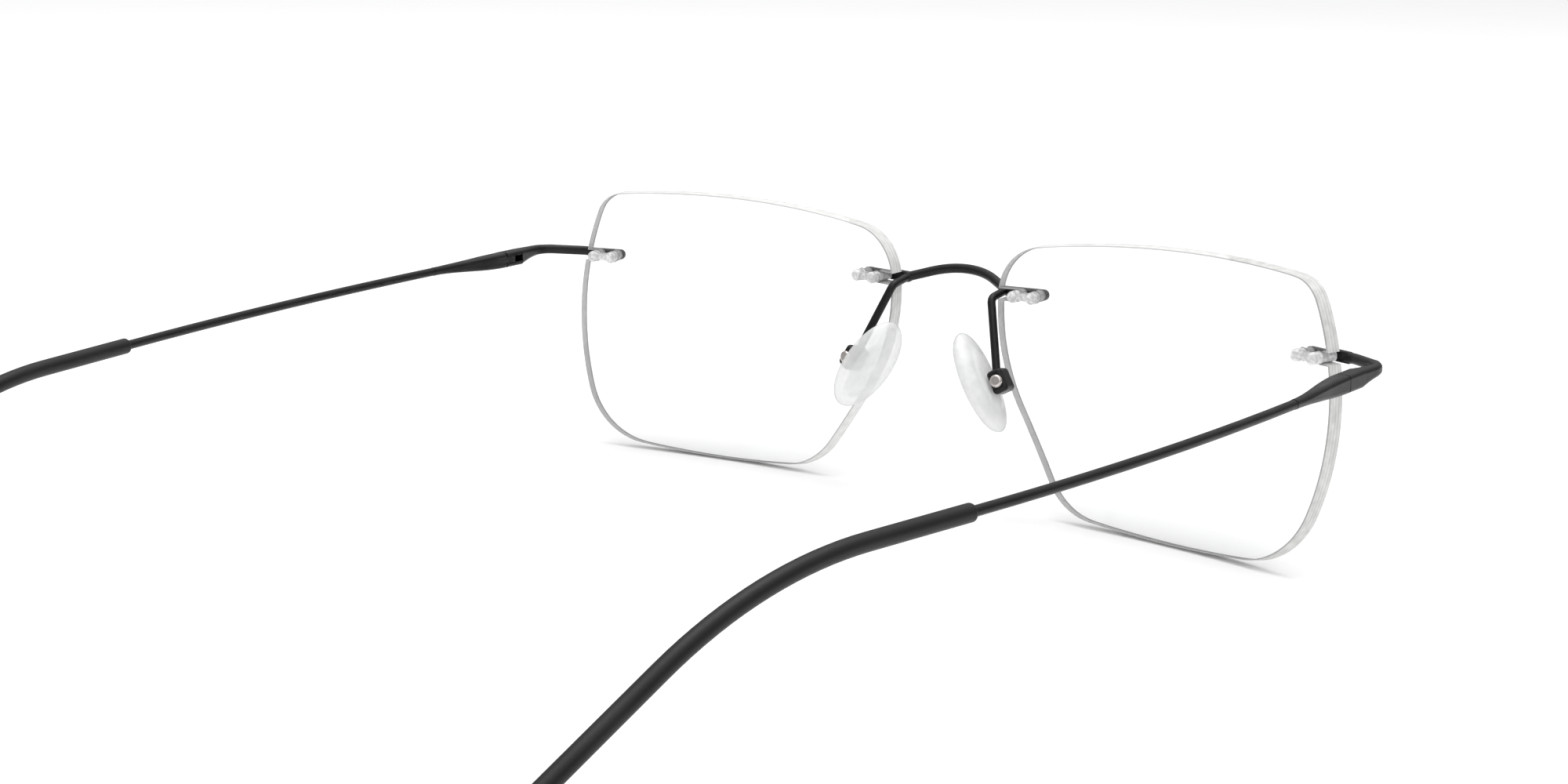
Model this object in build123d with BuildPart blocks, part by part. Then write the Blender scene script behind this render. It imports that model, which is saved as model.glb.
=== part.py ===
from build123d import *
from math import atan2, cos, degrees, radians, sin, sqrt, tan
import os

# Rimless eyeglasses, in millimetres. They are laid out in the optician's frame: X across the face
# (plus is the wearer's left), Y back along the temples, Z up, with the lenses upright and the
# origin level with the lens centres. At the end the whole pair is tipped into its stance on a
# table, where it rests on the lens edges and the temple tips, and the origin moves to the middle
# of the floor that it covers.
# Everything is drawn for the left side, and the right side is its mirror image.

# ---------------------------------------------------------------- lenses
LENS_WIDTH = 53.0           # boxed width of one lens
LENS_HEIGHT = 37.3          # boxed height of one lens
LENS_SPACING = 17.0         # shortest distance between the two lenses
LENS_RADIUS = 110.0         # front sphere
LENS_THICKNESS = 2.3
LENS_EDGE_REACH = 168.0     # the edge walls aim at a point this far behind the lens
FACE_WRAP = 6.3             # each lens turns back by this angle, degrees
EDGE_CHAMFER = 0.14
BLANK_MARGIN = 1.0          # of the blank that each lens is cut from, before and behind it
STRIP_HEIGHT = 0.01         # of the strip that finds where the outline crosses a level

# Outline corners: distance in from the boxed side, distance in from the boxed top or bottom,
# and the radius that rounds them. The sides between them bow out to the box.
TOP_OUTER = (3.8, 0.9, 4.4)
BOTTOM_OUTER = (5.1, 1.0, 11.0)
BOTTOM_INNER = (12.1, 1.1, 9.4)
TOP_INNER = (0.1, 2.5, 7.0)
CHEEK_CUT_RISE = 20.0       # where the slanting nasal side starts, above the lens bottom
CHEEK_CUT_RADIUS = 25.0

# ---------------------------------------------------------------- compression mounts
PIN_PITCH = 2.7             # from the notch's pin to the hole's pin
PIN_RADIUS = 0.4
NASAL_HEIGHT = 10.4         # of the nasal mount above the lens centre
NASAL_INSET = 2.6           # from the lens edge to the notch's pin
TEMPORAL_HEIGHT = 8.6
TEMPORAL_INSET = 1.3
LEG_RADIUS = 0.7            # plastic leg around each pin, inside the lens
LEG_CLEARANCE = 0.03
PIN_CLEARANCE = 0.02
BARREL_RADIUS = 0.8         # of the plug behind the lens
BARREL_HEIGHT = 1.75
BARREL_DOME = 0.7           # rounding of its free end
WEB_WIDTH = 0.95
WEB_HEIGHT = 1.05
PLUG_SEAT = 0.05            # between the plug and the lens back
PIN_COVER = 0.45            # plastic left over the end of a pin

BAR_WIDTH = 1.5             # flattened bar in front of the lens
BAR_TIP = 0.3               # straight on past the last pin, before the round tip
BAR_THICKNESS = 0.9
BAR_GAP = 0.1               # between the bar and the lens front
BAR_ROUND = 0.3

# ---------------------------------------------------------------- bridge
BRIDGE_RADIUS = 0.65        # of its wire
KNEE_STEP = 0.55            # from the lens edge in to the middle of the knee
ARCH_RADIUS = 10.5
ARCH_ANGLE = 29.7           # slope of the arch's legs, degrees
ARCH_TILT = 36.5            # the arch leans forward from level by this much, degrees

# ---------------------------------------------------------------- nose pads
PAD_CENTRE = (9.1, 6.8, -1.45)
PAD_LENGTH = 14.4
PAD_WIDTH = 8.7
PAD_THICKNESS = 3.2
PAD_LEAN = 31.0             # top towards the nose, degrees
PAD_SPLAY = 13.0            # face towards the wearer, degrees
PAD_ROUND = 1.45
CORE_LENGTH = 8.6
CORE_WIDTH = 4.6
CORE_THICKNESS = 0.7
POST_DROP = 1.0             # the post leaves the core this far below the middle of the pad
POST_WIDTH = 1.2
POST_RADIUS = 0.8           # half its height, and its rounded end
BOX_DEPTH = 2.2
BOX_WIDTH = 3.1
BOX_HEIGHT = 3.2
BOX_ROUND = 0.55
BOX_GAP = 0.2               # between the box and the back of the pad
POST_SIDE_GAP = 0.05
POST_END_GAP = 0.1
POST_ROOM = 0.35            # above and below the post, for the pad to rock
SCREW_RADIUS = 0.45
SCREW_CLEARANCE = 0.05
SCREW_HEAD_RADIUS = 0.87
SCREW_HEAD_HEIGHT = 0.45
SCREW_HEAD_ROUND = 0.36
PAD_ARM_RADIUS = 0.55
PAD_ARM_BACK = 3.4          # from the bridge's knee back to the bend
PAD_ARM_FALL = 0.9          # and down to it
PAD_ARM_BEND = 1.2
PAD_ARM_SINK = 0.12         # let into the top of the box

# ---------------------------------------------------------------- hinges
HINGE_OUT = 9.21            # from the temporal mount out to the middle of the closed hinge, at the seam
HINGE_BACK = 13.27
HINGE_DROP = 1.2
TEMPLE_SLOPE = 5.61         # the temples fall towards the ears, degrees
BLOCK_WIDTH = 2.2
BLOCK_HEIGHT = 2.15
BLOCK_LENGTH = 3.3          # of the fork, ahead of the seam
BLOCK_ROUND = 0.5
SEAM_GAP = 0.12
PIVOT_AHEAD = 1.35          # from the seam forward to the pin
KNUCKLE_RADIUS = 0.88
KNUCKLE_HEIGHT = 0.8
KNUCKLE_GAP = 0.05          # on every side of the knuckle
WINDOW_LENGTH = 0.9         # of the fork left open ahead of the knuckle
HINGE_PIN_RADIUS = 0.4
HINGE_PIN_CLEARANCE = 0.04
HINGE_PIN_COVER = 0.35      # metal left over the top of the pin
PIN_SLOT_WIDTH = 0.2
PIN_SLOT_DEPTH = 0.2
ARM_HEIGHT = 1.32           # bar from the lens to the hinge
ARM_THICKNESS = 1.15
ARM_ROUND = 0.54
ARM_RISE = 0.3              # of the arm above the middle of the hinge, from the corner on
ARM_SWELL_POWER = 2.2       # the swelling into the fork grows with this power of the way
ARM_SWELL_STEPS = 8
CORNER_BACK = 8.7           # from the seam forward to the corner
CORNER_RADIUS = 3.6
ARM_START_BEND = 4.0
ARM_LEAD = 1.2              # straight on from the bar before the first bend
ARM_OVERLAP = 0.3           # of the bar into the start of the arm

# ---------------------------------------------------------------- temples
TEMPLE_LENGTH = 140.0       # from the seam to the tip, along the temple
WIRE_RADIUS = 0.575
BOW_LENGTH = 69.8           # from the seam to the front of the sleeve
WIRE_OUT = 0.48             # the wire starts outside the middle of the hinge, near its outer face
WIRE_UP = 0.2               # and above it
BOW_INWARD = 3.58           # how far the sleeve's front sits inside the hinge
BOW_SAGITTA = 1.66          # outward bulge of the wire between them
FLARE_LENGTH = 13.0         # hinge end tapering into the wire
FLARE_STEP = 0.03           # its thin end is this much thicker than the wire, all round
FLARE_ROUND = 0.58          # corners of its thin end, nearly as round as the wire
FLARE_LAP = 0.4             # of the wire into its thin end
FLARE_SWELL = ((0, 1), (0.3, 0.8), (0.65, 0.28), (1, 0))  # share of its length, share of the swelling
SLEEVE_RADIUS = 0.975
SLEEVE_FRONT_ROUND = 0.3
SLEEVE_CLEARANCE = 0.01
EAR_BEND_START = 84.0       # along the temple, from the seam
EAR_BEND_RADIUS = 53.3
EAR_BEND_ANGLE = 28.4       # degrees
WIRE_END_COVER = 8.0        # sleeve beyond the end of the wire


# ================================================================ shared frames
def front_depth(across, up):
    """How far the front sphere has fallen back from the lens's middle."""
    return LENS_RADIUS - sqrt(LENS_RADIUS**2 - across**2 - up**2)


half_width = LENS_WIDTH / 2
half_height = LENS_HEIGHT / 2
wrap = radians(FACE_WRAP)
nasal_depth = front_depth(half_width, half_height / 2)
lens_centre_x = LENS_SPACING / 2 + half_width * cos(wrap) + nasal_depth * sin(wrap)
LENS = Plane((lens_centre_x, 0, 0), x_dir=(cos(wrap), sin(wrap), 0), z_dir=(sin(wrap), -cos(wrap), 0))
sphere_centre = LENS.from_local_coords((0, 0, -LENS_RADIUS))


def lens_outline(plane, size=1.0):
    """The lens outline on a plane, made larger or smaller than life by size."""
    corners = {
        "top_outer": (half_width - TOP_OUTER[0], half_height - TOP_OUTER[1], TOP_OUTER[2]),
        "bottom_outer": (half_width - BOTTOM_OUTER[0], BOTTOM_OUTER[1] - half_height, BOTTOM_OUTER[2]),
        "bottom_inner": (BOTTOM_INNER[0] - half_width, BOTTOM_INNER[1] - half_height, BOTTOM_INNER[2]),
        "cheek": (-half_width, CHEEK_CUT_RISE - half_height, CHEEK_CUT_RADIUS),
        "top_inner": (TOP_INNER[0] - half_width, half_height - TOP_INNER[1], TOP_INNER[2]),
    }
    spot = {name: (size * x, size * y) for name, (x, y, _) in corners.items()}
    with BuildSketch(plane) as outline:
        with BuildLine():
            ThreePointArc(spot["top_inner"], (0, size * half_height), spot["top_outer"])
            ThreePointArc(spot["top_outer"], (size * half_width, 0), spot["bottom_outer"])
            ThreePointArc(spot["bottom_outer"], (0, -size * half_height), spot["bottom_inner"])
            Polyline(spot["bottom_inner"], spot["cheek"], spot["top_inner"])
        make_face()
        for name, (_, _, radius) in corners.items():
            fillet(outline.vertices().sort_by_distance(spot[name])[0], size * radius)
    return outline.sketch


def edge_at(height, side):
    """Where the outline crosses a level, on its temporal side (1) or its nasal side (-1)."""
    with BuildSketch() as strip:
        add(lens_outline(Plane.XY))
        with Locations((0, height)):
            Rectangle(2 * LENS_WIDTH, STRIP_HEIGHT, mode=Mode.INTERSECT)
    span = strip.sketch.bounding_box()
    return span.max.X if side > 0 else span.min.X


def mount_plane(height, side, inset):
    """Plane on the lens front midway between the two pins: X runs in from the edge, Z out forward."""
    across = edge_at(height, side) - side * (inset + PIN_PITCH / 2)
    depth = front_depth(across, height)
    spot = LENS.from_local_coords((across, height, -depth))
    outward = (spot - sphere_centre).normalized()
    inward = LENS.x_dir * -side
    level = (inward - outward * inward.dot(outward)).normalized()
    return Plane(spot, x_dir=level, z_dir=outward)


NASAL = mount_plane(NASAL_HEIGHT, -1, NASAL_INSET)
TEMPORAL = mount_plane(TEMPORAL_HEIGHT, 1, TEMPORAL_INSET)

slope = radians(TEMPLE_SLOPE)
seam = TEMPORAL.origin + Vector(HINGE_OUT, HINGE_BACK, -HINGE_DROP)
HINGE = Plane(seam, x_dir=(1, 0, 0), z_dir=(0, sin(slope), cos(slope)))

# The hinge turns about a pin whose knuckle comes up to the inner face of the fork.
pivot_x = -BLOCK_WIDTH / 2 + KNUCKLE_RADIUS + KNUCKLE_GAP
pivot_y = -PIVOT_AHEAD

lean = radians(PAD_LEAN)
splay = radians(PAD_SPLAY)
pad_up = Vector(-sin(lean), 0, cos(lean))
pad_face = Vector(-cos(lean) * cos(splay), sin(splay), -sin(lean) * cos(splay))
PAD = Plane(PAD_CENTRE, x_dir=pad_up.cross(pad_face), z_dir=pad_face)
POST = Plane(PAD.from_local_coords((0, -POST_DROP, 0)), x_dir=PAD.x_dir, z_dir=PAD.z_dir)
box_face = -(PAD_THICKNESS / 2 + BOX_GAP)
screw_depth = box_face - BOX_DEPTH / 2

left = {}


# ================================================================ lens
def edge_scale(height):
    """Size of the lens blank at a level above or below the middle of the lens front."""
    return 1 + (height + nasal_depth) / LENS_EDGE_REACH


blank_front = BLANK_MARGIN
blank_back = -(front_depth(half_width, half_height) + LENS_THICKNESS + BLANK_MARGIN)
with BuildPart() as lens:
    add(lens_outline(LENS.offset(blank_front), edge_scale(blank_front)))
    add(lens_outline(LENS.offset(blank_back), edge_scale(blank_back)))
    loft(ruled=True)
    with Locations(sphere_centre):
        Sphere(LENS_RADIUS, mode=Mode.INTERSECT)
        Sphere(LENS_RADIUS - LENS_THICKNESS, mode=Mode.SUBTRACT)
    for mount, inset in ((NASAL, NASAL_INSET), (TEMPORAL, TEMPORAL_INSET)):
        with BuildSketch(mount):
            with Locations((-PIN_PITCH / 2, 0), (PIN_PITCH / 2, 0)):
                Circle(LEG_RADIUS + LEG_CLEARANCE)
            with Locations((-PIN_PITCH / 2 - inset, 0)):
                Rectangle(2 * inset, 2 * (LEG_RADIUS + LEG_CLEARANCE))
        extrude(amount=2 * LENS_THICKNESS, both=True, mode=Mode.SUBTRACT)
    chamfer(lens.faces().filter_by(GeomType.SPHERE).edges(), EDGE_CHAMFER)
left["lens"] = lens


# ================================================================ mounts
def flat_bar(mount, tail):
    """The bar in front of the lens, from its round tip to a tail outside the lens edge."""
    with BuildPart() as bar:
        with BuildSketch(mount.offset(BAR_GAP)):
            with Locations(((PIN_PITCH / 2 + BAR_TIP - tail) / 2, 0)):
                SlotCenterToCenter(PIN_PITCH / 2 + BAR_TIP + tail, BAR_WIDTH)
        extrude(amount=BAR_THICKNESS)
        fillet(bar.faces().sort_by(SortBy.AREA)[-2:].edges(), BAR_ROUND)
    return bar.part


def pin_pair(mount):
    """The two studs brazed to the back of the bar."""
    with BuildPart() as pins:
        with BuildSketch(mount.offset(BAR_GAP)):
            with Locations((-PIN_PITCH / 2, 0), (PIN_PITCH / 2, 0)):
                Circle(PIN_RADIUS)
        extrude(amount=-(BAR_GAP + LENS_THICKNESS + PLUG_SEAT + BARREL_HEIGHT - PIN_COVER))
    return pins


def double_plug(mount):
    """Two plastic barrels joined by a web, with a leg around each pin inside the lens."""
    back = mount.offset(-LENS_THICKNESS - PLUG_SEAT)
    with BuildPart() as plug:
        with BuildSketch(back):
            with Locations((-PIN_PITCH / 2, 0), (PIN_PITCH / 2, 0)):
                Circle(BARREL_RADIUS)
        extrude(amount=-BARREL_HEIGHT)
        rims = plug.edges().filter_by(GeomType.CIRCLE)
        fillet(rims.group_by(Axis(mount.origin, mount.z_dir))[0], BARREL_DOME)
        with BuildSketch(back):
            Rectangle(PIN_PITCH, WEB_WIDTH)
        extrude(amount=-WEB_HEIGHT)
        with BuildSketch(back):
            with Locations((-PIN_PITCH / 2, 0), (PIN_PITCH / 2, 0)):
                Circle(LEG_RADIUS)
        extrude(amount=LENS_THICKNESS + PLUG_SEAT)
        with BuildSketch(mount):
            with Locations((-PIN_PITCH / 2, 0), (PIN_PITCH / 2, 0)):
                Circle(PIN_RADIUS + PIN_CLEARANCE)
        bore = LENS_THICKNESS + PLUG_SEAT + BARREL_HEIGHT - PIN_COVER + PIN_CLEARANCE
        extrude(amount=-bore, mode=Mode.SUBTRACT)
    return plug


left["bridge_pins"] = pin_pair(NASAL)
left["endpiece_pins"] = pin_pair(TEMPORAL)
left["plug_nasal"] = double_plug(NASAL)
left["plug_temporal"] = double_plug(TEMPORAL)

# ================================================================ bridge
bar_middle = BAR_GAP + BAR_THICKNESS / 2
knee_tail = PIN_PITCH / 2 + NASAL_INSET + KNEE_STEP
knee = NASAL.from_local_coords((-knee_tail, 0, bar_middle))
tilt = radians(ARCH_TILT)
ARCH = Plane((0, knee.Y, knee.Z), x_dir=(1, 0, 0), z_dir=(0, -sin(tilt), -cos(tilt)))
arch_peak = knee.X * tan(radians(ARCH_ANGLE))
with BuildPart() as bridge:
    with BuildLine(ARCH) as arch_line:
        FilletPolyline((-knee.X, 0), (0, arch_peak), (knee.X, 0), radius=ARCH_RADIUS)
    with BuildSketch(Plane(arch_line.line @ 0, z_dir=arch_line.line % 0)):
        Circle(BRIDGE_RADIUS)
    sweep()
    with Locations(knee, (-knee.X, knee.Y, knee.Z)):
        Sphere(BAR_WIDTH / 2)
    nasal_bar = flat_bar(NASAL, knee_tail)
    add(nasal_bar)
    mirror(nasal_bar, about=Plane.YZ)

# ================================================================ endpiece and its fork
arm_tail = PIN_PITCH / 2 + TEMPORAL_INSET + KNEE_STEP
arm_x = BLOCK_WIDTH / 2 - ARM_THICKNESS / 2
arm_start = TEMPORAL.from_local_coords((-arm_tail, 0, bar_middle))
arm_aim = TEMPORAL.from_local_coords((-arm_tail - ARM_LEAD, 0, bar_middle))
corner = HINGE.from_local_coords((arm_x, -CORNER_BACK, ARM_RISE))
inward = (arm_start - corner) - HINGE.y_dir * (arm_start - corner).dot(HINGE.y_dir)
ARM = Plane(corner, x_dir=inward, z_dir=HINGE.y_dir.cross(inward))
start_spot = ARM.to_local_coords(arm_start)
aim_spot = ARM.to_local_coords(arm_aim)
fork_slot = KNUCKLE_HEIGHT + 2 * KNUCKLE_GAP
slot_front = pivot_y - KNUCKLE_RADIUS - WINDOW_LENGTH
with BuildPart() as endpiece:
    add(flat_bar(TEMPORAL, arm_tail + ARM_OVERLAP))
    with BuildLine(ARM) as arm_line:
        FilletPolyline(
            (start_spot.X, start_spot.Y),
            (aim_spot.X, aim_spot.Y),
            (0, 0),
            (0, BLOCK_LENGTH - CORNER_BACK),
            radius=(ARM_START_BEND, CORNER_RADIUS),
        )
    stretches = Wire(arm_line.line.edges()).order_edges()
    lead_in = Wire(stretches[:3])
    swelling = Wire(stretches[3:])
    with BuildSketch(Plane(lead_in @ 0, x_dir=ARM.z_dir, z_dir=lead_in % 0)):
        RectangleRounded(ARM_HEIGHT, ARM_THICKNESS, ARM_ROUND)
    sweep(path=lead_in)
    # round the corner the arm swells into the fork, flush with its outer face
    to_middle = HINGE.x_dir * -arm_x - HINGE.z_dir * ARM_RISE
    for step in range(ARM_SWELL_STEPS + 1):
        share = step / ARM_SWELL_STEPS
        grow = share**ARM_SWELL_POWER
        fade = 1 - grow
        spot = swelling @ share + to_middle * grow
        up = ARM.z_dir * fade + HINGE.z_dir * grow
        with BuildSketch(Plane(spot, x_dir=up, z_dir=swelling % share)):
            RectangleRounded(
                fade * ARM_HEIGHT + grow * BLOCK_HEIGHT,
                fade * ARM_THICKNESS + grow * BLOCK_WIDTH,
                fade * ARM_ROUND + grow * BLOCK_ROUND,
            )
    loft()
    block_front = HINGE.from_local_coords((0, -BLOCK_LENGTH, 0))
    with BuildSketch(Plane(block_front, x_dir=HINGE.z_dir, z_dir=HINGE.y_dir)):
        RectangleRounded(BLOCK_HEIGHT, BLOCK_WIDTH, BLOCK_ROUND)
    extrude(amount=BLOCK_LENGTH)
    # the inner rear corner is round, concentric with the pin
    with BuildSketch(HINGE.offset(-BLOCK_HEIGHT)):
        with Locations((pivot_x, pivot_y)):
            Rectangle(BLOCK_WIDTH, BLOCK_WIDTH, align=(Align.MAX, Align.MIN))
            Circle(PIVOT_AHEAD, mode=Mode.SUBTRACT)
    extrude(amount=2 * BLOCK_HEIGHT, mode=Mode.SUBTRACT)
    # the slot of the fork, open to the inner side and to the rear
    with BuildSketch(HINGE.offset(-fork_slot / 2)):
        with Locations((pivot_x + KNUCKLE_RADIUS + KNUCKLE_GAP, slot_front)):
            Rectangle(2 * BLOCK_WIDTH, 2 * BLOCK_LENGTH, align=(Align.MAX, Align.MIN))
    extrude(amount=fork_slot, mode=Mode.SUBTRACT)
    with BuildSketch(HINGE.offset(-BLOCK_HEIGHT / 2)):
        with Locations((pivot_x, pivot_y)):
            Circle(HINGE_PIN_RADIUS)
    extrude(amount=BLOCK_HEIGHT - HINGE_PIN_COVER, mode=Mode.SUBTRACT)
left["endpiece"] = endpiece

with BuildPart() as hinge_pin:
    with BuildSketch(HINGE.offset(-BLOCK_HEIGHT / 2)):
        with Locations((pivot_x, pivot_y)):
            Circle(HINGE_PIN_RADIUS)
    extrude(amount=BLOCK_HEIGHT - HINGE_PIN_COVER)
    with BuildSketch(HINGE.offset(-BLOCK_HEIGHT / 2)):
        with Locations((pivot_x, pivot_y)):
            Rectangle(3 * HINGE_PIN_RADIUS, PIN_SLOT_WIDTH)
    extrude(amount=PIN_SLOT_DEPTH, mode=Mode.SUBTRACT)
left["hinge_pin"] = hinge_pin

# ================================================================ temple
# The wire bows out in the hinge's level, runs straight into the sleeve, then drops behind the ear.
bow_reach = sqrt(BOW_LENGTH**2 - BOW_INWARD**2)
with BuildLine(HINGE.offset(WIRE_UP)) as bow:
    SagittaArc((WIRE_OUT, 0), (WIRE_OUT - BOW_INWARD, bow_reach), -BOW_SAGITTA)
bow_wire = Wire(bow.line.edges())
heading = bow_wire % 1
EAR = Plane(bow_wire @ 1, x_dir=heading, z_dir=heading.cross(HINGE.z_dir))
run_in = EAR_BEND_START - bow_wire.length
bend_length = EAR_BEND_RADIUS * radians(EAR_BEND_ANGLE)
tail_length = TEMPLE_LENGTH - EAR_BEND_START - bend_length


def ear_line(tail):
    """The path inside the sleeve: straight, one bend down, and a straight tail."""
    with BuildLine(EAR) as path:
        entry = Line((0, 0), (run_in, 0))
        hook = JernArc(entry @ 1, entry % 1, EAR_BEND_RADIUS, -EAR_BEND_ANGLE)
        Line(hook @ 1, (hook @ 1) + (hook % 1) * tail)
    return path.line


thin_end = WIRE_RADIUS + FLARE_STEP
wire_start = (FLARE_LENGTH - FLARE_LAP) / bow_wire.length
with BuildPart() as temple:
    with BuildLine() as bare_wire:
        ThreePointArc(bow_wire @ wire_start, bow_wire @ ((1 + wire_start) / 2), bow_wire @ 1)
    with BuildSketch(Plane(bare_wire.line @ 0, z_dir=bare_wire.line % 0)):
        Circle(WIRE_RADIUS)
    sweep(path=bare_wire.line)
    inner_path = ear_line(tail_length - WIRE_END_COVER)
    with BuildSketch(Plane(inner_path @ 0, z_dir=inner_path % 0)):
        Circle(WIRE_RADIUS)
    sweep(path=inner_path)
    # the hinge end swells from the wire to the size of the fork, and inward to its middle
    for share, grow in FLARE_SWELL:
        station = share * FLARE_LENGTH / bow_wire.length
        spot = bow_wire @ station
        behind = HINGE.from_local_coords((0, HINGE.to_local_coords(spot).Y, 0))
        spot += (behind - spot) * grow
        aim = bow_wire % station if share else HINGE.y_dir
        with BuildSketch(Plane(spot, x_dir=HINGE.z_dir, z_dir=aim)):
            RectangleRounded(
                2 * thin_end + grow * (BLOCK_HEIGHT - 2 * thin_end),
                2 * thin_end + grow * (BLOCK_WIDTH - 2 * thin_end),
                FLARE_ROUND + grow * (BLOCK_ROUND - FLARE_ROUND),
            )
    loft()
    # the seam's face
    with BuildSketch(HINGE.offset(-BLOCK_HEIGHT)):
        with Locations((0, SEAM_GAP)):
            Rectangle(2 * BLOCK_WIDTH, BLOCK_WIDTH, align=(Align.CENTER, Align.MAX))
    extrude(amount=2 * BLOCK_HEIGHT, mode=Mode.SUBTRACT)
    # the knuckle that fills the fork's slot
    with BuildSketch(HINGE.offset(-KNUCKLE_HEIGHT / 2)):
        with Locations((pivot_x, pivot_y)):
            Circle(KNUCKLE_RADIUS)
            Rectangle(
                2 * KNUCKLE_RADIUS, SEAM_GAP - pivot_y + BLOCK_ROUND, align=(Align.CENTER, Align.MIN)
            )
    extrude(amount=KNUCKLE_HEIGHT)
    with BuildSketch(HINGE.offset(-BLOCK_HEIGHT)):
        with Locations((pivot_x, pivot_y)):
            Circle(HINGE_PIN_RADIUS + HINGE_PIN_CLEARANCE)
    extrude(amount=2 * BLOCK_HEIGHT, mode=Mode.SUBTRACT)
left["temple"] = temple

with BuildPart() as ear_sleeve:
    outer_path = ear_line(tail_length - SLEEVE_RADIUS)
    with BuildSketch(Plane(outer_path @ 0, z_dir=outer_path % 0)):
        Circle(SLEEVE_RADIUS)
    sweep(path=outer_path)
    fillet(ear_sleeve.faces().sort_by(Axis.Y)[0].edges(), SLEEVE_FRONT_ROUND)
    with Locations(outer_path @ 1):
        Sphere(SLEEVE_RADIUS)
    with BuildSketch(Plane(outer_path @ 0, z_dir=outer_path % 0)):
        Circle(WIRE_RADIUS + SLEEVE_CLEARANCE)
    sweep(path=ear_line(tail_length - WIRE_END_COVER + SLEEVE_CLEARANCE), mode=Mode.SUBTRACT)
left["ear_sleeve"] = ear_sleeve

# ================================================================ nose pad, its core and its box
SCREW = Plane(POST.from_local_coords((0, 0, screw_depth)), x_dir=POST.y_dir, z_dir=POST.x_dir)

with BuildPart() as nose_pad_core:
    with BuildSketch(POST.offset(-CORE_THICKNESS / 2)):
        Ellipse(CORE_WIDTH / 2, CORE_LENGTH / 2)
    extrude(amount=CORE_THICKNESS)
    with BuildSketch(SCREW.offset(-POST_WIDTH / 2)):
        Circle(POST_RADIUS)
        Rectangle(2 * POST_RADIUS, -screw_depth, align=(Align.CENTER, Align.MIN))
    extrude(amount=POST_WIDTH)
    with BuildSketch(SCREW.offset(-POST_WIDTH)):
        Circle(SCREW_RADIUS + SCREW_CLEARANCE)
    extrude(amount=2 * POST_WIDTH, mode=Mode.SUBTRACT)
left["nose_pad_core"] = nose_pad_core

with BuildPart() as nose_pad:
    with BuildSketch(PAD.offset(-PAD_THICKNESS / 2)):
        Ellipse(PAD_WIDTH / 2, PAD_LENGTH / 2)
    extrude(amount=PAD_THICKNESS)
    fillet(nose_pad.edges(), PAD_ROUND)
    add(nose_pad_core.part, mode=Mode.SUBTRACT)
left["nose_pad"] = nose_pad

with BuildPart() as pad_box:
    with BuildSketch(POST.offset(box_face)):
        Rectangle(BOX_WIDTH, BOX_HEIGHT)
    extrude(amount=-BOX_DEPTH)
    fillet(pad_box.edges(), BOX_ROUND)
    with BuildSketch(POST.offset(box_face)):
        Rectangle(POST_WIDTH + 2 * POST_SIDE_GAP, 2 * (POST_RADIUS + POST_ROOM))
    extrude(amount=-(BOX_DEPTH / 2 + POST_RADIUS + POST_END_GAP), mode=Mode.SUBTRACT)
    with BuildSketch(SCREW.offset(-BOX_WIDTH / 2)):
        Circle(SCREW_RADIUS)
    extrude(amount=BOX_WIDTH - BOX_ROUND, mode=Mode.SUBTRACT)
left["pad_box"] = pad_box

with BuildPart() as pad_screw:
    with BuildSketch(SCREW.offset(-BOX_WIDTH / 2)):
        Circle(SCREW_RADIUS)
    extrude(amount=BOX_WIDTH - BOX_ROUND)
    with BuildSketch(SCREW.offset(-BOX_WIDTH / 2)):
        Circle(SCREW_HEAD_RADIUS)
    extrude(amount=-SCREW_HEAD_HEIGHT)
    fillet(pad_screw.edges().group_by(Axis(SCREW.origin, SCREW.z_dir))[0], SCREW_HEAD_ROUND)
left["pad_screw"] = pad_screw

with BuildPart() as pad_arm:
    arm_foot = POST.from_local_coords((0, BOX_HEIGHT / 2 - PAD_ARM_SINK, screw_depth))
    bend = Vector(knee.X, knee.Y + PAD_ARM_BACK, knee.Z - PAD_ARM_FALL)
    with BuildLine() as pad_arm_line:
        FilletPolyline(knee, bend, arm_foot, radius=PAD_ARM_BEND)
    with BuildSketch(Plane(pad_arm_line.line @ 0, z_dir=pad_arm_line.line % 0)):
        Circle(PAD_ARM_RADIUS)
    sweep()
    add(bridge.part, mode=Mode.SUBTRACT)
    add(pad_box.part, mode=Mode.SUBTRACT)
left["pad_arm"] = pad_arm

# ================================================================ stance and files
# Tipped back on a table until the lens edges and the temple tips both touch it.
tip = outer_path @ 1
lens_foot = LENS.from_local_coords((0, -half_height, -front_depth(0, half_height)))
stance = atan2(lens_foot.Z - (tip.Z - SLEEVE_RADIUS), tip.Y - lens_foot.Y)
TIPPED = Rot(X=degrees(stance))
reach = [(TIPPED * piece.part).bounding_box() for piece in (bridge, *left.values())]
floor = min(box.min.Z for box in reach)
middle = (min(box.min.Y for box in reach) + max(box.max.Y for box in reach)) / 2
STANCE = Pos(0, -middle, -floor) * TIPPED

os.makedirs("parts", exist_ok=True)


def write(piece, name):
    """One piece, labelled, in its stance, as its own STEP file."""
    piece.part.label = name
    export_step(STANCE * piece.part, f"parts/{name}.step")


write(bridge, "bridge")
for name, piece in left.items():
    write(piece, f"{name}_left")
    with BuildPart() as twin:
        mirror(piece.part, about=Plane.YZ)
    write(twin, f"{name}_right")
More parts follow.
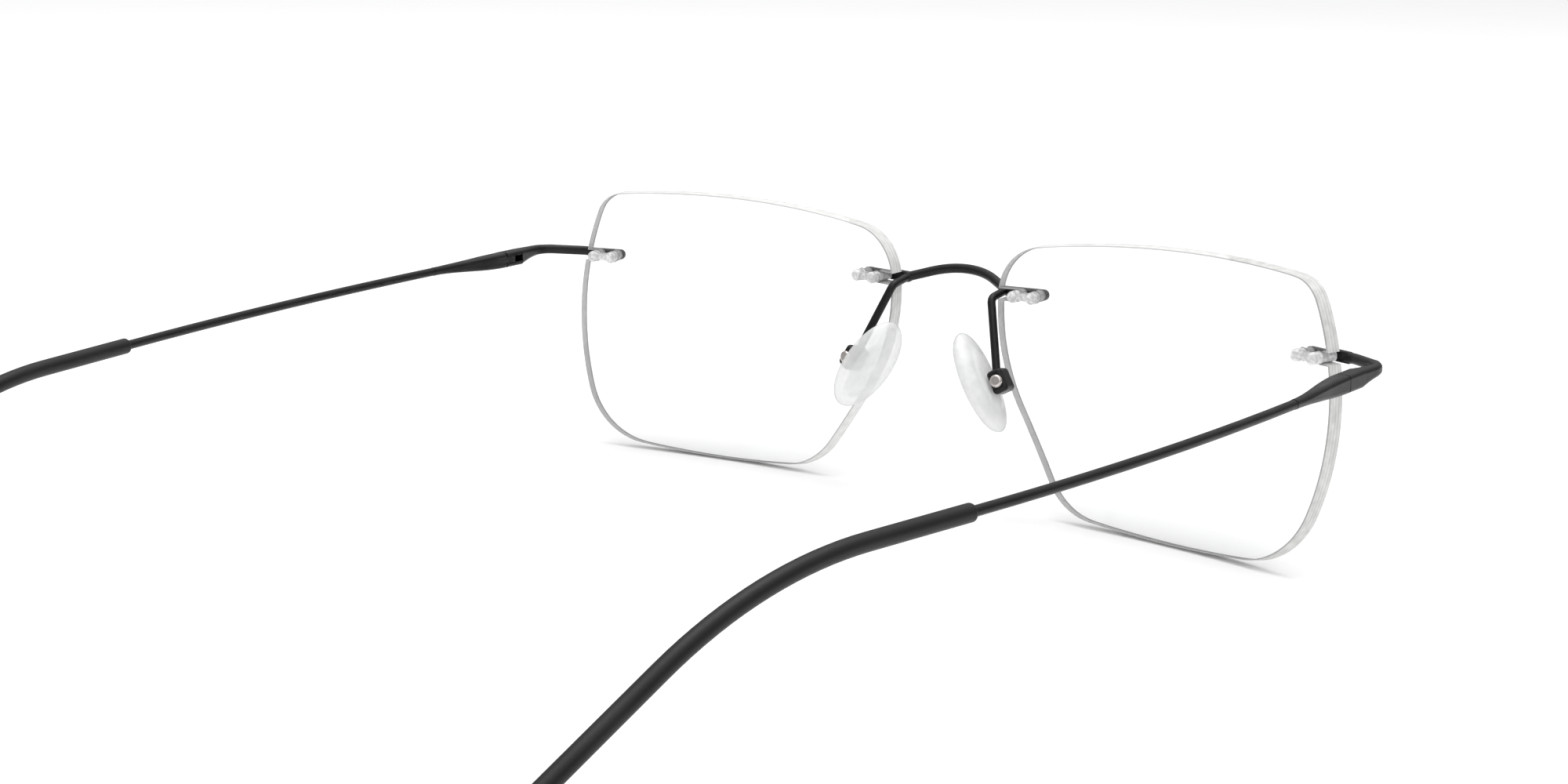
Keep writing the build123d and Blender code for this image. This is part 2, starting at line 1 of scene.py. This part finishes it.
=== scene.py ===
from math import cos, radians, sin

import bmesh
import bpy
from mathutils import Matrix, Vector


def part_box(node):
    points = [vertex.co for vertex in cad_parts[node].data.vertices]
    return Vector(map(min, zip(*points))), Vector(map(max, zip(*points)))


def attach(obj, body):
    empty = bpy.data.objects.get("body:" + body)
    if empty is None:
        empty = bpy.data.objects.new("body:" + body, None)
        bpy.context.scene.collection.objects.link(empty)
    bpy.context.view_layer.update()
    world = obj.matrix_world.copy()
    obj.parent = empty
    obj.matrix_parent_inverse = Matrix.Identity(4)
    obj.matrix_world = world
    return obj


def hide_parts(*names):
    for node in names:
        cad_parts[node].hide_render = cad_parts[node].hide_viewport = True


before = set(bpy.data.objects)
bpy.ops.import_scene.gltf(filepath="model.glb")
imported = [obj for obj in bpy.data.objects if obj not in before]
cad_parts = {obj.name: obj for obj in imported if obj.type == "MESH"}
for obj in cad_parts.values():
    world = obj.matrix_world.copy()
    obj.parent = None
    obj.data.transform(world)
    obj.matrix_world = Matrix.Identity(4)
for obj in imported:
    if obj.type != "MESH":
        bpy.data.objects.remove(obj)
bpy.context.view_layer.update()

# %% [markdown]
# # Rimless eyeglasses
# A rimless frame is mostly air: two clear lenses, a bridge, two wire temples and the small parts that
# hold them together. The shapes of the hard parts are already in the model that was just loaded. What
# is left is how each part looks, and the two soft silicone pads.

SIDES = {"left": 1, "right": -1}
print("loaded nodes:", len(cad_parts))

# %% [markdown]
# ## Camera
# The glasses are seen from behind and from the wearer's right, a little above. A long lens, about
# 63 mm on a 36 mm sensor, keeps the two temples from spreading. The camera is described by its place,
# its compass heading, its tilt and a small roll, which is how a photographer would note it down.

# %% Camera
CAMERA_PLACE = Vector((-0.2092, 0.2256, 0.0869))
CAMERA_HEADING, CAMERA_TILT, CAMERA_ROLL = radians(141.513), radians(-11.326), radians(0.952)
SENSOR_WIDTH, FOCAL_LENGTH = 36.0, 62.946
NEAREST_SEEN = 0.01

camera = bpy.data.objects.new("camera", bpy.data.cameras.new("camera"))
bpy.context.collection.objects.link(camera)
camera.data.sensor_width = SENSOR_WIDTH
camera.data.lens = FOCAL_LENGTH
camera.data.clip_start = NEAREST_SEEN
ahead = Vector((
    sin(CAMERA_HEADING) * cos(CAMERA_TILT),
    cos(CAMERA_HEADING) * cos(CAMERA_TILT),
    sin(CAMERA_TILT),
))
turn = ahead.to_track_quat("-Z", "Y").to_matrix().to_4x4()
camera.matrix_world = Matrix.Translation(CAMERA_PLACE) @ turn @ Matrix.Rotation(CAMERA_ROLL, 4, "Z")
bpy.context.scene.camera = camera
print("camera looks along", tuple(round(x, 3) for x in ahead))

# %% [markdown]
# ## Shader maths
# A procedural finish is arithmetic on masks and noises. Written as node after node it is hard to
# read, so one small class wraps a socket and lets Python's own signs add the Math nodes. Anything
# that is not arithmetic comes from its one `node` method.


# %% A socket that can be calculated with
class Shade:
    """A socket of a material's node tree. A sign between two of them adds a Math node."""

    def __init__(self, tree, socket=None):
        self.tree = tree
        self.socket = socket

    def node(self, kind, settings=None, inputs=None, output=0):
        """Adds a node with its settings, then its inputs, and returns one of its outputs."""
        made = self.tree.nodes.new(kind)
        for name, value in (settings or {}).items():
            setattr(made, name, value)
        for name, value in (inputs or {}).items():
            if isinstance(value, Shade):
                self.tree.links.new(value.socket, made.inputs[name])
            else:
                made.inputs[name].default_value = value
        return Shade(self.tree, made.outputs[output])

    def math(self, operation, a, b):
        return self.node("ShaderNodeMath", {"operation": operation}, {0: a, 1: b})

    def __add__(self, other):
        return self.math("ADD", self, other)

    def __sub__(self, other):
        return self.math("SUBTRACT", self, other)

    def __rsub__(self, other):
        return self.math("SUBTRACT", other, self)

    def __mul__(self, other):
        return self.math("MULTIPLY", self, other)

    def __gt__(self, other):
        return self.math("GREATER_THAN", self, other)

    def __abs__(self):
        return self.math("ABSOLUTE", self, 0)

    __radd__ = __add__
    __rmul__ = __mul__

    def place(self):
        """Where a point is on its object, in metres."""
        return self.node("ShaderNodeTexCoord", output="Object")

    def noise(self, size, detail=2.0):
        """Soft random values from 0 to 1, in patches about `size` metres across."""
        inputs = {"Vector": self.place(), "Scale": 1 / size, "Detail": detail}
        return self.node("ShaderNodeTexNoise", inputs=inputs)

    def stripes(self, size, detail=2.0):
        """Soft random values that change along this value, in bands about `size` metres wide."""
        line = self.node("ShaderNodeCombineXYZ", inputs={0: self})
        inputs = {"Vector": line, "Scale": 1 / size, "Detail": detail}
        return self.node("ShaderNodeTexNoise", inputs=inputs)

    def dot(self, direction):
        """How far this vector goes along a direction."""
        settings = {"operation": "DOT_PRODUCT"}
        return self.node("ShaderNodeVectorMath", settings, {0: self, 1: direction}, output="Value")

    def distance(self, point):
        """How far this place is from a point."""
        settings = {"operation": "DISTANCE"}
        return self.node("ShaderNodeVectorMath", settings, {0: self, 1: point}, output="Value")

    def facing(self, blend):
        """0 where the surface is seen square on, towards 1 where it turns away."""
        return self.node("ShaderNodeLayerWeight", inputs={"Blend": blend}, output="Facing")

    def ramp(self, start, end):
        """Goes from 0 to 1 while this value goes from start to end."""
        return self.node(
            "ShaderNodeMapRange",
            {"interpolation_type": "SMOOTHSTEP"},
            {"Value": self, "From Min": start, "From Max": end},
        )

    def blend(self, first, second):
        """The first colour where this value is 0 and the second where it is 1."""
        colours = {"Factor": self, 6: first, 7: second}
        return self.node("ShaderNodeMix", {"data_type": "RGBA"}, colours, output=2)

    def bump(self, height):
        """A normal that is dented by this value, at most `height` metres deep."""
        return self.node("ShaderNodeBump", inputs={"Height": self, "Distance": height, "Strength": 1.0})


def new_finish(name):
    """An empty material: the material, a Shade to build on, and its Principled shader."""
    material = bpy.data.materials.new(name)
    material.use_nodes = True
    tree = material.node_tree
    tree.nodes.clear()
    shader = tree.nodes.new("ShaderNodeBsdfPrincipled")
    output = tree.nodes.new("ShaderNodeOutputMaterial")
    tree.links.new(shader.outputs["BSDF"], output.inputs["Surface"])
    return material, Shade(tree), shader


def set_finish(shade, shader, **sockets):
    """Plugs values and shades into the shader; an underscore stands for a space."""
    for name, value in sockets.items():
        socket = shader.inputs[name.replace("_", " ")]
        if isinstance(value, Shade):
            shade.tree.links.new(value.socket, socket)
        else:
            socket.default_value = value


def dress(node, material):
    """Gives a loaded part its new finish."""
    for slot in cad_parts[node].material_slots:
        slot.material = material


print("shader helper ready")

# %% [markdown]
# ## Black plated metal
# The bridge, the end pieces, the hinges and the temples are thin metal with a satin black coating.
# Such a coating is not one flat black: it is a warm charcoal, a shade paler where fingers have
# polished it, and its sheen comes from a very fine orange-peel texture. Two noises do this, one of
# about three millimetres for the rubbed patches and one of a tenth of a millimetre for the texture.


# %% Black plating
RUBBED_PATCH, METAL_GRAIN, METAL_GRAIN_DEPTH = 0.003, 0.00012, 0.0000025


def black_plating():
    material, shade, shader = new_finish("black_plating")
    rubbed = shade.noise(RUBBED_PATCH).ramp(0.4, 0.75)
    grain = shade.noise(METAL_GRAIN, detail=3)
    colour = rubbed.blend((0.0032, 0.0030, 0.0032, 1), (0.0075, 0.0070, 0.0072, 1))
    set_finish(
        shade, shader,
        Base_Color=colour,
        Roughness=0.34 + 0.08 * grain - 0.06 * rubbed,
        Normal=grain.bump(METAL_GRAIN_DEPTH),
        IOR=1.36,
    )
    return material


plating = black_plating()
metal_nodes = ["bridge"]
for side in SIDES:
    metal_nodes += [
        f"{part}_{side}"
        for part in ("bridge_pins", "endpiece_pins", "endpiece", "hinge_pin", "temple", "pad_box", "pad_arm")
    ]
for node in metal_nodes:
    dress(node, plating)
print("black plating on", len(metal_nodes), "nodes")

# %% [markdown]
# ## Black ear sleeves
# The sleeves over the temple tips are soft-touch plastic. They are the same black but duller, and
# their sheen breaks up into a fine speckle, which the eye reads as a rubbery skin.


# %% Sleeve plastic
HANDLED_PATCH, SPECKLE, SPECKLE_DEPTH = 0.008, 0.00025, 0.00001


def sleeve_plastic():
    material, shade, shader = new_finish("sleeve_plastic")
    speckle = shade.noise(SPECKLE, detail=4)
    handled = shade.noise(HANDLED_PATCH).ramp(0.35, 0.7)
    set_finish(
        shade, shader,
        Base_Color=handled.blend((0.0035, 0.0034, 0.0034, 1), (0.007, 0.0068, 0.0068, 1)),
        Roughness=0.38 + 0.16 * speckle,
        Normal=speckle.bump(SPECKLE_DEPTH),
        IOR=1.38,
    )
    return material


sleeve_black = sleeve_plastic()
for side in SIDES:
    dress(f"ear_sleeve_{side}", sleeve_black)
print("sleeves dressed")

# %% [markdown]
# ## Lenses
# The lenses are real glass to the renderer, because the way they bend light is visible: a far edge
# looks thinner through the lens than a near edge does in the open. The cut edge itself is ground, so
# it is a pale grey band with fine lines along it, between two thin darker bevels. The surface
# knows which of the three it is from its direction against the lens's own axis, and how deep in the
# edge it is from its distance to the centre of the lens's sphere. The faces have the faintest smears
# in their tint, and a low specular level stands for their anti-reflection coating.

# %% Measurements that the lens finish needs
LENS_WRAP, STANCE = radians(6.3), radians(2.982)
LENS_SPHERE = 0.110
FACE_LIMIT, BEVEL_LIMIT = 0.93, 0.4


def lens_axis(sign):
    """Out of the front of a lens. Each lens turns back a little, and the whole pair leans."""
    return Vector((sign * sin(LENS_WRAP), -cos(LENS_WRAP) * cos(STANCE), -cos(LENS_WRAP) * sin(STANCE)))


def lens_sphere_centre(side):
    """The centre of the front sphere, behind the middle of the lens."""
    low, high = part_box(f"lens_{side}")
    front = Vector(((low[0] + high[0]) / 2, low[1], (low[2] + high[2]) / 2))
    return front - LENS_SPHERE * lens_axis(SIDES[side])


print("left lens's sphere is centred on", tuple(round(x, 4) for x in lens_sphere_centre("left")))


# %% Lens finish
EDGE_LINE, EDGE_FROST, FACE_SMEAR = 0.00025, 0.0012, 0.012
GLASS_IOR, COATED_SPECULAR = 1.5, 0.25


def lens_finish(side):
    material, shade, ground = new_finish(f"lens_{side}")
    normal = shade.node("ShaderNodeTexCoord", output="Normal")
    square_on = abs(normal.dot(lens_axis(SIDES[side])))
    face = square_on > FACE_LIMIT
    wall = 1 - (square_on > BEVEL_LIMIT)
    depth = shade.place().distance(lens_sphere_centre(side))
    lines = depth.stripes(EDGE_LINE, detail=3)
    frost = shade.noise(EDGE_FROST, detail=3)
    streaks = (0.6 * lines + 0.4 * frost).ramp(0.3, 0.75)
    pale = streaks.blend((0.60, 0.60, 0.59, 1), (0.86, 0.86, 0.85, 1))
    set_finish(
        shade, ground,
        Base_Color=wall.blend((0.42, 0.42, 0.42, 1), pale),
        Roughness=0.35 + 0.2 * streaks,
        Alpha=0.85 + 0.1 * streaks,
    )
    glass = shade.tree.nodes.new("ShaderNodeBsdfPrincipled")
    smear = shade.noise(FACE_SMEAR)
    set_finish(
        shade, glass,
        Base_Color=smear.blend((0.985, 0.99, 0.99, 1), (0.995, 0.998, 1.0, 1)),
        Roughness=0.0,
        Transmission_Weight=1.0,
        IOR=GLASS_IOR,
        Specular_IOR_Level=COATED_SPECULAR,
    )
    both = shade.tree.nodes.new("ShaderNodeMixShader")
    output = shade.tree.nodes["Material Output"]
    shade.tree.links.new(face.socket, both.inputs[0])
    shade.tree.links.new(ground.outputs[0], both.inputs[1])
    shade.tree.links.new(glass.outputs[0], both.inputs[2])
    shade.tree.links.new(both.outputs[0], output.inputs["Surface"])
    return material


for side in SIDES:
    dress(f"lens_{side}", lens_finish(side))
print("lenses dressed")

# %% [markdown]
# ## Clear plugs
# Each mount is a double plug of clear moulded plastic, pushed onto two metal studs. Its barrels
# scatter the light so much that the studs inside hardly show: what the eye finds is a milky body
# with glints, and darker outlines where the surface turns away. The Layer Weight node knows how far
# a surface turns away, so it paints the outlines in a darker grey: painted shade.


# %% Plug plastic
PLUG_CLOUD, PLUG_DENTS = 0.0005, 0.00004


def plug_plastic():
    material, shade, shader = new_finish("plug_plastic")
    cloud = shade.noise(PLUG_CLOUD, detail=3).ramp(0.35, 0.65)
    rim = shade.facing(0.3)
    body = cloud.blend((0.70, 0.70, 0.71, 1), (0.95, 0.95, 0.95, 1))
    set_finish(
        shade, shader,
        # The colour turns a darker grey where the surface turns away from the eye: painted shade for the
        # outlines.
        Base_Color=rim.ramp(0.45, 0.95).blend(body, (0.33, 0.33, 0.34, 1)),
        Alpha=0.62 + 0.16 * cloud + 0.2 * rim,
        Roughness=0.05 + 0.1 * cloud,
        Normal=cloud.bump(PLUG_DENTS),
        IOR=1.49,
    )
    return material


plug_clear = plug_plastic()
for side in SIDES:
    dress(f"plug_nasal_{side}", plug_clear)
    dress(f"plug_temporal_{side}", plug_clear)
print("plugs dressed")

# %% [markdown]
# ## Pad screws
# The tiny screw that holds a nose pad is the only bare metal on the frame. Its domed head was turned
# on a lathe, so its roughness runs in rings around the screw.


# %% Screw steel
TURNED_RING, RING_DEPTH = 0.00007, 0.000004


def screw_steel(side):
    material, shade, shader = new_finish(f"screw_steel_{side}")
    low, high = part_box(f"pad_screw_{side}")
    middle = (Vector(low) + Vector(high)) / 2
    rings = shade.place().distance(middle).stripes(TURNED_RING)
    set_finish(
        shade, shader,
        Base_Color=rings.blend((0.50, 0.46, 0.44, 1), (0.66, 0.62, 0.60, 1)),
        Metallic=1.0,
        Roughness=0.18 + 0.22 * rings,
        Normal=rings.bump(RING_DEPTH),
    )
    return material


for side in SIDES:
    dress(f"pad_screw_{side}", screw_steel(side))
print("screws dressed")

# %% [markdown]
# ## Silicone nose pads
# A nose pad is a soft oval of clear silicone moulded around a hard plastic core. It is crowned
# towards the nose, thins out to a rounded rim, and has a low boss at the back where the core's post
# leaves it. A profile spun about the pad's axis and then stretched into an oval gives exactly that.

# %% Where the pads are
PAD_LEAN, PAD_SPLAY = radians(31.0), radians(13.0)
PAD_HALF_WIDTH, PAD_HALF_LENGTH, PAD_THICKNESS = 0.00435, 0.0072, 0.0032


def pad_frame(sign):
    """Turns the pad's own axes, x across, y up and z towards the nose, into the model's."""
    up = Vector((-sin(PAD_LEAN), 0, cos(PAD_LEAN)))
    face = Vector((-cos(PAD_LEAN) * cos(PAD_SPLAY), sin(PAD_SPLAY), -sin(PAD_LEAN) * cos(PAD_SPLAY)))
    lean_back = Matrix.Rotation(STANCE, 3, "X")
    axes = [lean_back @ up.cross(face), lean_back @ up, lean_back @ face]
    for axis in axes:
        axis.x *= sign
    return Matrix(axes).transposed().to_4x4()


def pad_middle(side):
    low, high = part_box(f"nose_pad_{side}")
    return (Vector(low) + Vector(high)) / 2


# Distance out from the middle, as a share of the half width, and height, as a share of the thickness.
# The shallow groove near the rim is the line where the two halves of the mould met.
PAD_PROFILE = [
    (0.0, 0.50), (0.35, 0.485), (0.60, 0.44), (0.76, 0.36), (0.80, 0.31), (0.84, 0.30), (0.93, 0.20),
    (0.995, 0.0), (0.985, -0.16), (0.92, -0.30), (0.80, -0.385), (0.66, -0.41), (0.60, -0.44),
    (0.50, -0.50), (0.0, -0.50),
]
print("left pad at", tuple(round(x, 4) for x in pad_middle("left")))


# %% Silicone finish
SILICONE_HAZE = 0.002


def silicone_finish():
    material, shade, shader = new_finish("silicone")
    rim = shade.facing(0.5)
    haze = shade.noise(SILICONE_HAZE).ramp(0.35, 0.7)
    # Towards its outline, where the surface turns away from the eye, the pad is painted a darker grey:
    # painted shade.
    painted_outline_shade = rim.ramp(0.45, 0.92)
    set_finish(
        shade, shader,
        Base_Color=painted_outline_shade.blend((0.84, 0.85, 0.845, 1), (0.55, 0.56, 0.555, 1)),
        Alpha=0.50 + 0.08 * haze + 0.3 * painted_outline_shade,
        Roughness=0.12 + 0.08 * haze,
        IOR=1.41,
    )
    return material


silicone = silicone_finish()
print("silicone ready")


# %% Spin the pads
PAD_STEPS, MERGE_DISTANCE, PAD_SMOOTHING = 48, 0.0001, 2


def make_pad(side):
    built = bmesh.new()
    profile = [built.verts.new((out, 0, height)) for out, height in PAD_PROFILE]
    edges = [built.edges.new(pair) for pair in zip(profile, profile[1:])]
    bmesh.ops.spin(
        built, geom=profile + edges, axis=(0, 0, 1), cent=(0, 0, 0),
        angle=radians(360), steps=PAD_STEPS, use_merge=True,
    )
    bmesh.ops.remove_doubles(built, verts=built.verts, dist=MERGE_DISTANCE)
    size = (PAD_HALF_WIDTH, PAD_HALF_LENGTH, PAD_THICKNESS)
    bmesh.ops.scale(built, vec=size, verts=built.verts)
    place = Matrix.Translation(pad_middle(side)) @ pad_frame(SIDES[side])
    bmesh.ops.transform(built, matrix=place, verts=built.verts)
    bmesh.ops.recalc_face_normals(built, faces=built.faces)
    mesh = bpy.data.meshes.new(f"silicone_pad_{side}")
    built.to_mesh(mesh)
    built.free()
    mesh.shade_smooth()
    pad = bpy.data.objects.new(mesh.name, mesh)
    bpy.context.collection.objects.link(pad)
    soften = pad.modifiers.new("soften", "SUBSURF")
    soften.levels = soften.render_levels = PAD_SMOOTHING
    mesh.materials.append(silicone)
    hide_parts(f"nose_pad_{side}")
    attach(pad, f"nose_pad_{side}")
    return pad


for side in SIDES:
    pad = make_pad(side)
    print(pad.name, len(pad.data.polygons), "faces")

# %% [markdown]
# ## Hard cores
# The core inside the silicone is a harder clear plastic. Seen through the pad it hardly shows: its
# middle adds a trace of grey, and its rims, which turn away from the eye, are denser and painted brighter, a
# painted reflection.


# %% Core plastic
CORE_CLOUD = 0.0009


def core_plastic():
    material, shade, shader = new_finish("core_plastic")
    rim = shade.facing(0.4)
    cloud = shade.noise(CORE_CLOUD).ramp(0.3, 0.7)
    set_finish(
        shade, shader,
        # The rims, which turn away from the eye, are painted a brighter grey: a painted reflection.
        Base_Color=rim.blend((0.72, 0.73, 0.74, 1), (0.92, 0.93, 0.93, 1)),
        Alpha=0.14 + 0.1 * cloud + 0.3 * rim,
        Roughness=0.12 + 0.1 * cloud,
        IOR=1.49,
    )
    return material


core_clear = core_plastic()
for side in SIDES:
    dress(f"nose_pad_core_{side}", core_clear)
print("cores dressed")

# %% [markdown]
# ## Floor and light
# The glasses stand on a plain pale sheet that runs far past the view. Black wire needs soft light
# from large sources: one broad panel overhead draws the thin pale line along each temple, and a
# weaker one behind the camera opens the shadows. The world fills in the rest, brighter from above
# than from the side, and shows itself to the camera as a plain backdrop, almost white.

# %% Floor
FLOOR_HALF_WIDTH, PAPER_PATCH = 4.0, 0.05

floor_mesh = bpy.data.meshes.new("floor")
sheet = bmesh.new()
bmesh.ops.create_grid(sheet, x_segments=1, y_segments=1, size=FLOOR_HALF_WIDTH)
sheet.to_mesh(floor_mesh)
sheet.free()
floor = bpy.data.objects.new("floor", floor_mesh)
bpy.context.collection.objects.link(floor)
paper, shade, shader = new_finish("paper")
set_finish(
    shade, shader,
    Base_Color=shade.noise(PAPER_PATCH).blend((0.93, 0.93, 0.93, 1), (0.95, 0.95, 0.95, 1)),
    Roughness=0.9,
)
floor_mesh.materials.append(paper)
print("floor reaches", max(corner.co.x for corner in floor_mesh.vertices), "m each way")

# %% Light
ROOM_FLOOR, ROOM_CEILING, BACKDROP = 0.3, 1.15, 0.97

world = bpy.data.worlds.new("studio")
bpy.context.scene.world = world
world.use_nodes = True
world.node_tree.nodes.clear()
sky = Shade(world.node_tree)
direction = sky.node("ShaderNodeTexCoord", output="Generated")
height = sky.node("ShaderNodeSeparateXYZ", inputs={"Vector": direction}, output="Z")
seen = sky.node("ShaderNodeLightPath", output="Is Camera Ray")
soft_room = (height.ramp(0.0, 1.0) * ROOM_CEILING + ROOM_FLOOR) * (1 - seen) + BACKDROP * seen
background = sky.node("ShaderNodeBackground", inputs={"Strength": soft_room})
result = world.node_tree.nodes.new("ShaderNodeOutputWorld")
world.node_tree.links.new(background.socket, result.inputs["Surface"])


def panel(name, place, aim, width, power):
    """A square soft box that shines from its place towards its aim."""
    light = bpy.data.lights.new(name, "AREA")
    light.size = width
    light.energy = power
    lamp = bpy.data.objects.new(name, light)
    bpy.context.collection.objects.link(lamp)
    lamp.location = place
    lamp.rotation_euler = (Vector(aim) - Vector(place)).to_track_quat("-Z", "Y").to_euler()


panel("overhead", (0.0, -0.1, 1.2), (0, 0, 0), 1.0, 8.0)
panel("behind_camera", (-0.9, 0.9, 0.8), (0, 0, 0), 0.8, 3.0)
bpy.context.scene.view_settings.view_transform = "Standard"
print("lights ready")
